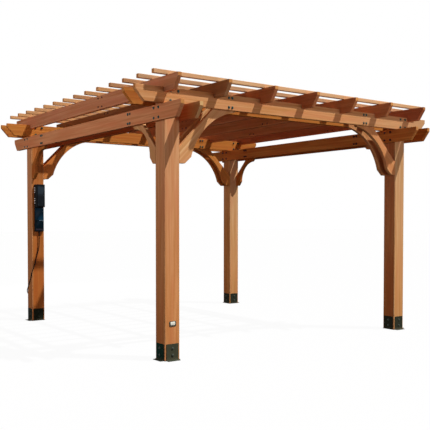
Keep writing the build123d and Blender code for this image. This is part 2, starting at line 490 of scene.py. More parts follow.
    def fade_along(self, tree: bpy.types.NodeTree, parts: Any, colour: Any) -> Any:
        """Fades the colour towards one end of the board; on the left inner lower beam this is painted
        light.

        Args:
            tree: The material's node tree.
            parts: The place's X, Y and Z outputs.
            colour: The colour so far.

        Returns:
            The output with the faded colour.
        """
        fade, along = self.fade, parts[self.fade.axis]
        span = {"Value": along, "From Min": fade.start, "From Max": fade.end, "To Max": fade.share}
        part = add_node(tree, "MapRange", span).outputs["Result"]
        mixed = {0: part, 6: colour, 7: linear(fade.colour)}
        return add_node(tree, "Mix", mixed, data_type="RGBA").outputs[2]

    def wear_post(self, tree: bpy.types.NodeTree, parts: Any, colour: Any, streaks: Any) -> Any:
        """Wears a post's upright corners and changes its tone towards the ground.

        Args:
            tree: The material's node tree.
            parts: The place's X, Y and Z outputs.
            colour: The stained colour so far.
            streaks: The streaks' output, which frays the worn strip's border.

        Returns:
            The output with the worn colour.
        """
        wear = self.wear
        offsets = []
        for axis, middle in zip("XY", wear.middle):
            size = add_node(tree, "Math", {0: parts[axis]}, operation="ABSOLUTE").outputs[0]
            away = add_node(tree, "Math", {0: size, 1: middle}, operation="SUBTRACT").outputs[0]
            offsets.append(add_node(tree, "Math", {0: away}, operation="ABSOLUTE").outputs[0])
        least = add_node(tree, "Math", {0: offsets[0], 1: offsets[1]}, operation="MINIMUM").outputs[0]
        uneven = {0: streaks, 1: wear.frayed, 2: least}
        frayed = add_node(tree, "Math", uneven, operation="MULTIPLY_ADD").outputs[0]
        # The streaks' mean is a half, so the strip starts that much of the fraying further out.
        start = wear.half_width - wear.strip + wear.frayed / 2
        none, full = start - wear.strip_border, start + wear.strip_border
        span = {"Value": frayed, "From Min": none, "From Max": full, "To Max": wear.strip_share}
        worn = add_node(tree, "MapRange", span).outputs["Result"]
        mixed = {0: worn, 6: colour, 7: linear(wear.strip_colour)}
        colour = add_node(tree, "Mix", mixed, data_type="RGBA").outputs[2]
        for (top, bottom), share, over, blend in (
            (wear.warm_between, 1.0, wear.warm_tint, "MULTIPLY"),
            (wear.foot_between, wear.foot_share, wear.foot_colour, "MIX"),
        ):
            span = {"Value": parts["Z"], "From Min": top, "From Max": bottom, "To Max": share}
            low = add_node(tree, "MapRange", span).outputs["Result"]
            mixed = {0: low, 6: colour, 7: linear(over)}
            colour = add_node(tree, "Mix", mixed, data_type="RGBA", blend_type=blend).outputs[2]
        return colour

    def vary_boards(self, tree: bpy.types.NodeTree, parts: Any, colour: Any) -> Any:
        """Gives each board of a row a tone of its own.

        Args:
            tree: The material's node tree.
            parts: The place's X, Y and Z outputs.
            colour: The stained colour so far.

        Returns:
            The output with each board's own tone.
        """
        row = self.row
        start = row.first - row.spacing / 2
        along = add_node(tree, "Math", {0: parts[row.axis], 1: start}, operation="SUBTRACT").outputs[0]
        count = add_node(tree, "Math", {0: along, 1: row.spacing}, operation="DIVIDE").outputs[0]
        number = add_node(tree, "Math", {0: count}, operation="FLOOR").outputs[0]
        number = add_node(tree, "Math", {0: number, 1: row.seed}, operation="ADD").outputs[0]
        own = add_node(tree, "TexWhiteNoise", {"W": number}, noise_dimensions="1D").outputs["Value"]
        value = add_node(tree, "MapRange", {"Value": own, "To Min": row.darkest, "To Max": row.lightest})
        hue = add_node(tree, "MapRange", {"Value": own, "To Min": 0.494, "To Max": 0.505})
        shifted = {"Color": colour, "Value": value.outputs["Result"], "Hue": hue.outputs["Result"]}
        return add_node(tree, "HueSaturation", shifted).outputs["Color"]


@dataclass(frozen=True)
class CoatedSteel(Finish):
    """Steel with a sprayed or dipped coat: low mottle, fine orange peel, paler rubbed spots.

    Real orange peel is 0.5 to 1 mm from crest to crest, and is drawn up to twice as coarse so
    that it shows. The mottle's patches are 6 to 50 mm wide, as handling and rain leave them.
    """

    base: str = "#34362A"
    rubbed: str = "#4C4D3E"
    mottle: float = 0.012
    peel: float = 0.0015
    dust_height: float = 0.0
    dust_colour: str = "#6B6552"
    dust_share: float = 0.35
    # A darker tint on the plates that don't look to the front: painted shade.
    sheltered_tint: str = ""

    def build(self, tree: bpy.types.NodeTree, shader: bpy.types.Node) -> None:
        """Builds the mottled coat, its dusty foot and its relief.

        Args:
            tree: The material's node tree.
            shader: Its Principled shader.
        """
        place = add_node(tree, "TexCoord").outputs["Object"]
        blotch = add_node(
            tree, "TexNoise", {"Vector": place, "Scale": 1 / self.mottle, "Detail": 4.0, "Roughness": 0.65}
        ).outputs["Fac"]
        part = add_node(
            tree, "MapRange", {"Value": blotch, "From Min": 0.48, "From Max": 0.78, "To Max": 0.8}
        ).outputs["Result"]
        tones = {0: part, 6: linear(self.base), 7: linear(self.rubbed)}
        colour = add_node(tree, "Mix", tones, data_type="RGBA").outputs[2]
        # Painted shade: the plates that don't look to the front are tinted darker.
        if self.sheltered_tint:
            colour = tint_faces(tree, colour, self.sheltered_tint, False)
        if self.dust_height:
            height = add_node(tree, "SeparateXYZ", {"Vector": place}).outputs["Z"]
            top, share = self.dust_height, self.dust_share
            span = {"Value": height, "From Min": top, "From Max": 0.0, "To Max": share}
            dust = add_node(tree, "MapRange", span).outputs["Result"]
            dusted = {0: dust, 6: colour, 7: linear(self.dust_colour)}
            colour = add_node(tree, "Mix", dusted, data_type="RGBA").outputs[2]
        tree.links.new(colour, shader.inputs["Base Color"])
        self.texture(tree, shader, blotch, swing=(0.07, 0.1), grain=self.peel, relief=(0.2, 0.0003))


@dataclass(frozen=True)
class MouldedPlastic(Finish):
    """Moulded ABS, polycarbonate or PVC: a fine spark-eroded grain and faint flow marks.

    The real grain is about 0.1 mm wide. It is drawn 1.2 to 2 mm wide, and shallow, so that it
    breaks up the sheen as the real one does. Flow marks are 20 to 90 mm long, as on the part.
    """

    base: str = "#1B1F22"
    flow: str = "#23282C"
    grain: float = 0.0016
    depth: float = 0.2
    flow_size: float = 0.02

    def build(self, tree: bpy.types.NodeTree, shader: bpy.types.Node) -> None:
        """Builds the flow marks and the moulded grain.

        Args:
            tree: The material's node tree.
            shader: Its Principled shader.
        """
        place = add_node(tree, "TexCoord").outputs["Object"]
        swirled = {"Vector": place, "Scale": 1 / self.flow_size, "Detail": 2.0, "Distortion": 0.6}
        marks = add_node(tree, "TexNoise", swirled).outputs["Fac"]
        span = {"Value": marks, "From Min": 0.35, "From Max": 0.7}
        part = add_node(tree, "MapRange", span).outputs["Result"]
        tones = {0: part, 6: linear(self.base), 7: linear(self.flow)}
        colour = add_node(tree, "Mix", tones, data_type="RGBA").outputs[2]
        tree.links.new(colour, shader.inputs["Base Color"])
        self.texture(tree, shader, marks, swing=(0.04, 0.06), grain=self.grain, relief=(self.depth, 0.0002))


@dataclass(frozen=True)
class StudioFloor(Finish):
    """Matt pale floor: white to the eye, and dark to the light that it would throw back up."""

    white: float = 0.955
    body: str = "#303030"
    cloud: float = 1.25

    def build(self, tree: bpy.types.NodeTree, shader: bpy.types.Node) -> None:
        """Adds the white that a viewer, a mirror or a pane sees to a dim matt body.

        Args:
            tree: The material's node tree.
            shader: Its Principled shader, which stays as the matt body.
        """
        place = add_node(tree, "TexCoord").outputs["Object"]
        soft = {"Vector": place, "Scale": 1 / self.cloud, "Detail": 1.0}
        cloud = add_node(tree, "TexNoise", soft).outputs["Fac"]
        tint = add_node(tree, "MapRange", {"Value": cloud, "To Min": 0.97, "To Max": 1.0}).outputs["Result"]
        clouded = {0: 1.0, 6: linear(self.body), 7: tint}
        colour = add_node(tree, "Mix", clouded, data_type="RGBA", blend_type="MULTIPLY").outputs[2]
        tree.links.new(colour, shader.inputs["Base Color"])
        seen = seen_rays(tree)
        strength = add_node(tree, "Math", {0: seen, 1: self.white}, operation="MULTIPLY").outputs[0]
        glow = add_node(tree, "Emission", {"Color": (1.0, 1.0, 1.0, 1.0), "Strength": strength})
        both = add_node(tree, "AddShader", {0: shader.outputs["BSDF"], 1: glow.outputs["Emission"]})
        output = next(node for node in tree.nodes if node.type == "OUTPUT_MATERIAL")
        tree.links.new(both.outputs["Shader"], output.inputs["Surface"])


def seen_rays(tree: bpy.types.NodeTree) -> bpy.types.NodeSocket:
    """Finds the rays that see the backdrop: straight, in a reflection or through a pane.

    Args:
        tree: The node tree that gets the nodes.

    Returns:
        An output that is 1 for those rays and 0 for the others.
    """
    path = add_node(tree, "LightPath").outputs
    straight = {0: path["Is Camera Ray"], 1: path["Is Glossy Ray"]}
    either = add_node(tree, "Math", straight, operation="MAXIMUM").outputs[0]
    any_ray = {0: either, 1: path["Is Transmission Ray"]}
    return add_node(tree, "Math", any_ray, operation="MAXIMUM").outputs[0]


# Exterior timber bolts have a grey-green ceramic coat, satin and slightly uneven.
BOLT_COAT = CoatedSteel(
    "ceramic_coated_bolt_steel", roughness=0.42, specular=0.25, base="#1E3F3A", rubbed="#33584F"
)
# The bolts of the rafters and the right lower beam have the same coat in red-brown.
BROWN_COAT = CoatedSteel(
    "ceramic_coated_bolt_steel_brown", roughness=0.5, specular=0.15, base="#3E1A12", rubbed="#52281C"
)
# The shoes are sprayed a dark bronze-green that takes dust near the ground.
SHOE_COAT = CoatedSteel(
    "powder_coated_steel_bronze",
    roughness=0.6,
    specular=0.02,
    base="#2F3328",
    rubbed="#3C4033",
    mottle=0.03,
    peel=0.002,
    dust_height=0.03,
)
# The front left shoe's coat is paler; its plates that don't look to the front are tinted back to
# green-black, which is painted shade.
PALE_FRONT_SHOE_COAT = replace(
    SHOE_COAT,
    name="powder_coated_steel_pale_front",
    roughness=0.65,
    base="#424435",
    rubbed="#4D4F40",
    mottle=0.05,
    sheltered_tint="#69BBC5",
)
# The rear left shoe's coat is darker, nearly black: painted shade, where the shoe stands in shadow.
SHADED_SHOE_COAT = replace(SHOE_COAT, name="powder_coated_steel_painted_shade", base="#20251C", rubbed="#292D23")
# The shoes' bolts have the same kind of coat, a little greyer, and the rear left ones are darker as painted
# shade.
SHOE_BOLT_COAT = CoatedSteel("powder_coated_bolt_steel", specular=0.2, base="#3A4138", rubbed="#4C5347")
SHADED_SHOE_BOLT_COAT = CoatedSteel(
    "powder_coated_bolt_steel_painted_shade", roughness=0.6, specular=0.05, base="#272B24", rubbed="#32362D"
)
# The plate is cast zinc in two stove enamels: a soft olive-grey rim round an ivory field.
BADGE_COAT = CoatedSteel(
    "cast_zinc_plate_enamelled_grey",
    specular=0.15,
    base="#45463A",
    rubbed="#525346",
    mottle=0.008,
    peel=0.0012,
)
BADGE_FACE = MouldedPlastic(
    "enamelled_blank_plate_ivory",
    roughness=0.4,
    specular=0.4,
    base="#E6E8D8",
    flow="#F0F2E4",
    grain=0.002,
    depth=0.1,
)
# The power unit's housing is black ABS with a slate panel and pale vents, all with a fine
# spark-eroded grain that keeps them satin.
HOUSING_ABS = MouldedPlastic(
    "moulded_abs_black",
    roughness=0.55,
    specular=0.04,
    base="#0A0D0F",
    flow="#111518",
    depth=0.3,
    flow_size=0.05,
)
PANEL_ABS = MouldedPlastic(
    "moulded_abs_slate", specular=0.06, base="#28323A", flow="#2D3740", flow_size=0.08
)
VENT_ABS = MouldedPlastic("moulded_abs_pale_grey", specular=0.4, base="#F3F5F1", flow="#F9FAF7")
# Its cover is smoked polycarbonate, smoother than the housing, with a blue-grey latch and a plum strip.
COVER_PC = MouldedPlastic(
    "smoked_polycarbonate_black",
    roughness=0.4,
    specular=0.06,
    base="#040B12",
    flow="#081018",
    grain=0.002,
    depth=0.05,
    flow_size=0.05,
)
WINDOW_PC = replace(
    COVER_PC,
    name="smoked_polycarbonate_blue",
    roughness=0.3,
    specular=0.05,
    base="#0C3146",
    flow="#113A4F",
    depth=0.04,
    flow_size=0.09,
)
LOWER_PC = replace(
    WINDOW_PC,
    name="smoked_polycarbonate_deep",
    specular=0.03,
    base="#021019",
    flow="#061823",
    flow_size=0.05,
)
LATCH_ABS = MouldedPlastic(
    "moulded_abs_blue_grey",
    roughness=0.4,
    specular=0.3,
    base="#5A7080",
    flow="#667C8B",
    grain=0.0015,
    depth=0.1,
    flow_size=0.03,
)
LABEL_ABS = replace(
    LATCH_ABS,
    name="moulded_abs_plum_grey",
    roughness=0.45,
    specular=0.1,
    base="#211F2C",
    flow="#282633",
    flow_size=0.02,
)
# The lead has an extruded PVC sheath, matt black, and its plug is moulded on in the same PVC
# round bright plated pins.
CORD_PVC = MouldedPlastic(
    "extruded_pvc_black",
    roughness=0.55,
    specular=0.05,
    base="#070808",
    flow="#0C0C0D",
    grain=0.0012,
    depth=0.15,
)
PIN_METAL = CoatedSteel(
    "nickel_plated_brass",
    roughness=0.28,
    metallic=1.0,
    base="#B7B09E",
    rubbed="#C9C3B4",
    mottle=0.006,
    peel=0.0008,
)
# The slats' screws are zinc-plated steel, bright where they are new.
SCREW_METAL = CoatedSteel(
    "zinc_plated_screw_steel",
    roughness=0.38,
    metallic=1.0,
    base="#8D8F8B",
    rubbed="#A7A8A2",
    mottle=0.006,
    peel=0.0008,
)


# ---------------------------------------------------------------- shapes


class Side(Enum):
    """The way a fitting faces, as the turn from facing up."""

    LEFT = ("Y", -90)
    RIGHT = ("Y", 90)
    FRONT = ("X", 90)
    REAR = ("X", -90)

    def turn(self) -> Matrix:
        """The turn as a matrix."""
        axis, angle = self.value
        return Matrix.Rotation(math.radians(angle), 4, axis)


@dataclass(frozen=True)
class Rounding:
    """How an upright plate is rounded: the radius of its four corners, and of its front edge."""

    corner: float
    edge: float
    corner_steps: int = 6
    edge_steps: int = 2


@dataclass(frozen=True)
class Recess:
    """How a front face is sunk: the border round it, its depth, and how far its walls lean in."""

    border: float
    depth: float
    lean: float


def make_piece(
    name: str, shape: bmesh.types.BMesh, finish: Finish, smooth: bool = False
) -> bpy.types.Object:
    """Turns a finished shape into a piece of the pergola.

    Args:
        name: The piece's name.
        shape: Its shape, in the frame; it is freed.
        finish: Its finish.
        smooth: Whether its shallow edges are shaded smooth.

    Returns:
        The piece, riding on the frame's one body.
    """
    bmesh.ops.recalc_face_normals(shape, faces=shape.faces)
    mesh = bpy.data.meshes.new(name)
    shape.to_mesh(mesh)
    shape.free()
    if smooth:
        mesh.shade_smooth()
        mesh.set_sharp_from_angle(angle=SMOOTH_ANGLE)
    piece = bpy.data.objects.new(name, mesh)
    bpy.context.scene.collection.objects.link(piece)
    mesh.materials.append(finish.material())
    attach(piece, "root")
    LOG.info("%s: %d faces, %s", name, len(mesh.polygons), finish.name)
    return piece


def make_plate(
    name: str,
    low: Sequence[float],
    high: Sequence[float],
    rounding: Rounding,
    finish: Finish,
    recess: Recess | None = None,
) -> bpy.types.Object:
    """Makes a piece of one upright plate that faces front.

    Args:
        name: The piece's name.
        low: The plate's lowest corner.
        high: Its highest corner.
        rounding: How it is rounded.
        finish: Its finish.
        recess: How its front face is sunk, if it is.

    Returns:
        The piece.
    """
    shape = bmesh.new()
    faces = add_plate(shape, low, high, rounding)
    if recess:
        sink_front(shape, faces, recess)
    return make_piece(name, shape, finish, smooth=True)


def dress_part(name: str, finish: Finish, radius: float, segments: int, worn: Finish | None = None) -> None:
    """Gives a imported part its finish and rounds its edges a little.

    Args:
        name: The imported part's name.
        finish: Its finish.
        radius: The width of its rounded edges.
        segments: How many faces go across each of them.
        worn: The rounded edges' own finish, where they have one. The part's flat sides are
            then made one face each, so that every rounded edge is one even strip.
    """
    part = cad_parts[name]
    part.data.materials[0] = finish.material()
    weld = part.modifiers.new("weld", "WELD")
    weld.merge_threshold = WELD_REACH
    if worn:
        part.data.materials.append(worn.material())
        flat = part.modifiers.new("one_face_per_side", "DECIMATE")
        flat.decimate_type = "DISSOLVE"
        flat.angle_limit = FLAT_ANGLE
    ease = part.modifiers.new("eased_edges", "BEVEL")
    ease.width, ease.segments = radius, segments
    ease.limit_method, ease.angle_limit = "ANGLE", EASED_ANGLE
    if worn:
        ease.material = 1
    LOG.info("%s: %s", name, finish.name)


def packed(start: str) -> list[str]:
    """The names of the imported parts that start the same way, in order."""
    return sorted(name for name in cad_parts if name.startswith(start))


def round_edges(
    shape: bmesh.types.BMesh, edges: Sequence[bmesh.types.BMEdge], radius: float, steps: int
) -> None:
    """Rounds some edges of a shape.

    Args:
        shape: The shape.
        edges: The edges.
        radius: Their radius.
        steps: How many faces go across each of them.
    """
    bmesh.ops.bevel(
        shape, geom=edges, offset=radius, affect="EDGES", segments=steps, profile=0.5, material=-1
    )


def add_block(
    shape: bmesh.types.BMesh,
    low: Sequence[float],
    high: Sequence[float],
    radius: float = 0.0,
    segments: int = 3,
) -> list[bmesh.types.BMFace]:
    """Adds a block between two corners, with its edges rounded.

    Args:
        shape: The shape that it joins.
        low: Its lowest corner.
        high: Its highest corner.
        radius: The edges' radius, or 0 for sharp ones.
        segments: How many faces go round each edge.

    Returns:
        The block's faces.
    """
    low, high = Vector(low), Vector(high)
    before = set(shape.faces)
    place = Matrix.LocRotScale((low + high) / 2, None, high - low)
    made = bmesh.ops.create_cube(shape, size=1.0, matrix=place)
    if radius:
        edges = list({edge for vert in made["verts"] for edge in vert.link_edges})
        round_edges(shape, edges, radius, segments)
    return [face for face in shape.faces if face not in before]


def add_plate(
    shape: bmesh.types.BMesh, low: Sequence[float], high: Sequence[float], rounding: Rounding
) -> list[bmesh.types.BMFace]:
    """Adds an upright plate that faces front, with round corners and a softened front edge.

    Args:
        shape: The shape that it joins.
        low: Its lowest corner.
        high: Its highest corner.
        rounding: How it is rounded.

    Returns:
        The plate's faces.
    """
    faces = add_block(shape, low, high)
    before = set(shape.faces) - set(faces)
    deep = [edge for edge in {edge for face in faces for edge in face.edges} if runs_rearwards(edge)]
    round_edges(shape, deep, rounding.corner, rounding.corner_steps)
    own = [face for face in shape.faces if face not in before]
    rim = [edge for face in own if front_facing(face) for edge in face.edges]
    round_edges(shape, rim, rounding.edge, rounding.edge_steps)
    return [face for face in shape.faces if face not in before]


def runs_rearwards(edge: bmesh.types.BMEdge) -> bool:
    """Tells whether an edge runs from front to rear."""
    across = edge.verts[1].co - edge.verts[0].co
    return abs(across.y) > abs(across.x) + abs(across.z)


def front_facing(face: bmesh.types.BMFace) -> bool:
    """Tells whether a face looks straight to the front."""
    face.normal_update()
    return face.normal.y < -STRAIGHT_AHEAD


def sink_front(shape: bmesh.types.BMesh, faces: Iterable[bmesh.types.BMFace], recess: Recess) -> None:
    """Sinks the largest front face of some faces inside a border.

    Args:
        shape: The shape that has the faces.
        faces: The faces to look through.
        recess: How the face is sunk.
    """
    fronts = (face for face in faces if face.is_valid and front_facing(face))
    front = max(fronts, key=lambda face: face.calc_area())
    for width in (recess.border, recess.lean):
        bmesh.ops.inset_region(shape, faces=[front], thickness=width, use_even_offset=True)
    bmesh.ops.translate(shape, verts=list(front.verts), vec=(0.0, recess.depth, 0.0))


def add_turned(
    shape: bmesh.types.BMesh, profile: Sequence[tuple[float, float]], steps: int, place: Matrix
) -> None:
    """Adds a turned shape: a profile of (radius, height) points spun once round its axis.

    Args:
        shape: The shape that it joins.
        profile: Points from the axis at one end to the axis at the other.
        steps: How many faces go round.
        place: The matrix that puts it in place; before it the axis is Z.
    """
    verts = [shape.verts.new((radius, 0.0, height)) for radius, height in profile]
    edges = [shape.edges.new(pair) for pair in zip(verts, verts[1:])]
    before = set(shape.verts) - set(verts)
    bmesh.ops.spin(
        shape,
        geom=verts + edges,
        cent=(0, 0, 0),
        axis=(0, 0, 1),
        angle=math.tau,
        steps=steps,
        use_merge=True,
        use_duplicate=False,
    )
    made = [vert for vert in shape.verts if vert not in before]
    bmesh.ops.remove_doubles(shape, verts=made, dist=TURNED_REACH)
    made = [vert for vert in shape.verts if vert not in before]
    bmesh.ops.transform(shape, matrix=place, verts=made)


# ---------------------------------------------------------------- timber


@dataclass
class TimberFrame:
    """The posts, beams, braces, rafters and slats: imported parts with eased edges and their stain."""

    eased: float = 0.0025
    post_eased: float = 0.005
    eased_steps: int = 2
    # The stain is rubbed pale along the eased edges, which are too narrow for many knots; the paler edges
    # are partly painted highlight, where light catches them.
    edge_rubbed: float = 0.12
    edge_knots: float = 1.0
    slat_knots: float = 2.6
    # Two posts have a paler stain, and these tints darken their faces that don't look to the front: painted
    # shade.
    bleached: dict[str, str] = field(
        default_factory=lambda: {"post_front_right": "#ECCABA", "post_rear_right": "#F8E5CF"}
    )
    # One post's front faces are tinted darker and more orange instead.
    darkened: str = "post_rear_left"
    darkened_tint: str = "#DBBF97"
    tones: dict[str, Stain] = field(
        default_factory=lambda: {
            "post_front_right": Stain.HAY,
            "post_rear_right": Stain.CREAM,
            "post_": Stain.FAWN,
            # The left outer lower beam's pale rosy stain is partly its tone and partly painted light,
            # brightening its left face, which the sun never reaches.
            "lower_beam_left_outer": Stain.ROSE,
            "lower_beam_left_inner": Stain.SIENNA,
            "lower_beam_right_inner": Stain.OCHRE,
            "lower_beam_right_outer": Stain.AMBER,
            "upper_beam_rear": Stain.GINGER,
            "upper_beam_front_inner": Stain.GINGER,
            "upper_beam_front_outer": Stain.FADED,
            "brace_lower_front_left": Stain.BEIGE,
            "brace_upper_front_left": Stain.PALE,
            "brace_lower_rear": Stain.AMBER,
            "brace_upper_rear": Stain.TAWNY,
            "rafter_01": Stain.MAUVE,
            "rafter_02": Stain.DRAB,
            "rafter": Stain.RUSSET,
            "slat_01": Stain.BLOND,
            "slat_02": Stain.BLOND,
            "slat": Stain.STRAW,
        }
    )
    # Two beams are paler towards one end: the front outer upper beam towards its right end, and the left
    # inner lower beam at its front tail, which is painted light where the sun reaches it.
    fades: dict[str, Fade] = field(
        default_factory=lambda: {
            "upper_beam_front_outer": Fade("X", 0.5, 1.86, "#C29A70"),
            "lower_beam_left_inner": Fade("Y", -1.66, -1.85, "#DEBA80"),
        }
    )
    rafter_seed: int = 22649
    rafter_shares: tuple[float, float] = (0.85, 1.3)
    slat_seed: int = 21070
    slat_shares: tuple[float, float] = (0.82, 1.1)

    BRACE_GRAIN: ClassVar[dict[str, Grain]] = {
        "brace_upper_front_left": Grain.RISING_RIGHT,
        "brace_upper_rear_left": Grain.RISING_RIGHT,
        "brace_upper_front_right": Grain.RISING_LEFT,
        "brace_upper_rear_right": Grain.RISING_LEFT,
        "brace_lower_front_left": Grain.RISING_REAR,
        "brace_lower_front_right": Grain.RISING_REAR,
        "brace_lower_rear_left": Grain.RISING_FRONT,
        "brace_lower_rear_right": Grain.RISING_FRONT,
    }

    def tone_of(self, name: str) -> Stain:
        """The tone of a part, by its name or the start of it."""
        return next((tone for start, tone in self.tones.items() if name.startswith(start)), Stain.HONEY)

    def finish_of(self, name: str) -> StainedCedar | None:
        """Chooses a part's finish.

        Args:
            name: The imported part's name.

        Returns:
            Its finish, or None where the part isn't timber.
        """
        tone = self.tone_of(name)
        label = f"stained_cedar_{tone.name.lower()}_"
        if name.startswith("post_") and not name.startswith("post_shoe"):
            return self.post_finish(name, label, tone)
        if name in self.BRACE_GRAIN:
            grain = self.BRACE_GRAIN[name]
            return StainedCedar(label + grain.name.lower(), grain=grain, stain=tone)
        if name.startswith(("upper_beam", "lower_beam")):
            grain = Grain.SIDEWAYS if name.startswith("upper") else Grain.REARWARDS
            fade = self.fades.get(name)
            return StainedCedar(label + grain.name.lower(), grain=grain, stain=tone, fade=fade)
        if name.startswith("rafter"):
            row = self.row("rafter_", "X", self.rafter_seed, self.rafter_shares)
            return StainedCedar(label + "rafter", grain=Grain.REARWARDS, stain=tone, row=row)
        if name.startswith("slat"):
            row = self.row("slat_", "Y", self.slat_seed, self.slat_shares)
            return StainedCedar(
                label + "slat", grain=Grain.SIDEWAYS, stain=tone, knots=self.slat_knots, row=row
            )
        return None

    def post_finish(self, name: str, label: str, tone: Stain) -> StainedCedar:
        """Chooses a post's finish, which is worn pale at its corners and changes tone towards its foot.

        Args:
            name: The post's name.
            label: What its material's name starts with.
            tone: Its stain's tone.

        Returns:
            Its finish.
        """
        low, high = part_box(name)
        middle = (low + high) / 2
        dark = name == self.darkened
        kind = name if name in self.bleached else "post_dark_front" if dark else "post"
        return StainedCedar(
            label + kind,
            grain=Grain.UPRIGHT,
            stain=tone,
            wear=PostWear((abs(middle.x), abs(middle.y)), (high.x - low.x) / 2),
            front_tint=self.darkened_tint if dark else "",
            other_tint=self.bleached.get(name, ""),
        )

    @staticmethod
    def row(start: str, axis: str, seed: int, shares: tuple[float, float]) -> BoardRow:
        """Measures a row of boards by its first two.

        Args:
            start: What the boards' names start with.
            axis: The axis that the row runs along.
            seed: The seed of its tones.
            shares: The darkest and the lightest tone, as shares of the stain's own.

        Returns:
            The row.
        """
        index = "XYZ".index(axis)
        first, second = (sum(corner[index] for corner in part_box(name)) / 2 for name in packed(start)[:2])
        return BoardRow(axis, first, second - first, seed, *shares)

    def dress(self, name: str, finish: StainedCedar) -> None:
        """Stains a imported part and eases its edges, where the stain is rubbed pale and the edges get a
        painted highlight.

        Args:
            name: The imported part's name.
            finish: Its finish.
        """
        worn = StainedCedar(
            finish.name + "_rubbed_highlit_edge",
            grain=finish.grain,
            stain=finish.stain,
            knots=self.edge_knots,
            rubbed=self.edge_rubbed,
        )
        radius = self.post_eased if name.startswith("post_") else self.eased
        dress_part(name, finish, radius, self.eased_steps, worn)

    def build(self) -> None:
        """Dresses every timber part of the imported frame."""
        for name in packed(""):
            finish = self.finish_of(name)
            if finish:
                self.dress(name, finish)


# ---------------------------------------------------------------- bolts


@dataclass
class BoltRow:
    """Through-bolts in doubled boards: domed heads on one face and nuts on the other.

    A head sits on a chamfered washer and has a straight brim under its dome. A nut sits on a
    plain washer, and the bolt's threaded end stands out of it.
    """

    name: str
    washer: float = 0.013
    head: float = 0.0102
    head_height: float = 0.0075
    nut: float = 0.0105
    coat: CoatedSteel = BOLT_COAT
    sunk: float = 0.001
    washer_height: float = 0.0018
    chamfer: float = 0.0006
    brim: float = 0.0012
    dome_top: float = 0.001
    nut_foot: float = 0.0015
    nut_height: float = 0.009
    thread: float = 0.0048
    thread_top: float = 0.0138
    thread_chamfer: tuple[float, float] = (0.0012, 0.001)
    steps: int = 14
    thread_steps: int = 8
    heads: list[tuple[Vector, Side]] = field(default_factory=list)
    nuts: list[tuple[Vector, Side]] = field(default_factory=list)

    # The dome's curve, as shares of the head's radius and height.
    DOME: ClassVar[tuple[tuple[float, float], ...]] = ((0.86, 0.5), (0.5, 0.85))

    def head_profile(self) -> list[tuple[float, float]]:
        """Works out a head's profile.

        Returns:
            Its (radius, height) points, from inside the wood to the top of its dome.
        """
        brim = self.washer_height + self.brim
        return [
            (0, -self.sunk),
            (self.washer, -self.sunk),
            (self.washer, self.washer_height - self.chamfer),
            (self.washer - self.chamfer, self.washer_height),
            (self.head, self.washer_height),
            (self.head, brim),
            *((out * self.head, brim + up * self.head_height) for out, up in self.DOME),
            (0, brim + self.head_height - self.dome_top),
        ]

    def add_nut(self, shape: bmesh.types.BMesh, place: Matrix) -> None:
        """Adds a nut with its washer and the bolt's end.

        Args:
            shape: The shape that it joins.
            place: The matrix that puts it in place.
        """
        base, top = -self.sunk, self.washer_height
        rim = [(0, base), (self.washer, base), (self.washer, top), (0, top)]
        add_turned(shape, rim, self.steps, place)
        bmesh.ops.create_cone(
            shape,
            cap_ends=True,
            segments=6,
            radius1=self.nut,
            radius2=self.nut,
            depth=self.nut_height,
            matrix=place @ Matrix.Translation((0, 0, self.nut_foot + self.nut_height / 2)),
        )
        narrower, lower = self.thread_chamfer
        base, top = self.nut_height, self.thread_top
        stub = [
            (0, base),
            (self.thread, base),
            (self.thread, top - lower),
            (self.thread - narrower, top),
            (0, top),
        ]
        add_turned(shape, stub, self.thread_steps, place)

    def build(self, slot: str) -> bpy.types.Object:
        """Makes one piece of all the row's heads and nuts.

        Args:
            slot: Not used.

        Returns:
            The piece.
        """
        shape = bmesh.new()
        for centre, side in self.heads:
            add_turned(shape, self.head_profile(), self.steps, Matrix.Translation(centre) @ side.turn())
        for centre, side in self.nuts:
            self.add_nut(shape, Matrix.Translation(centre) @ side.turn())
        return make_piece(self.name, shape, self.coat, smooth=True)


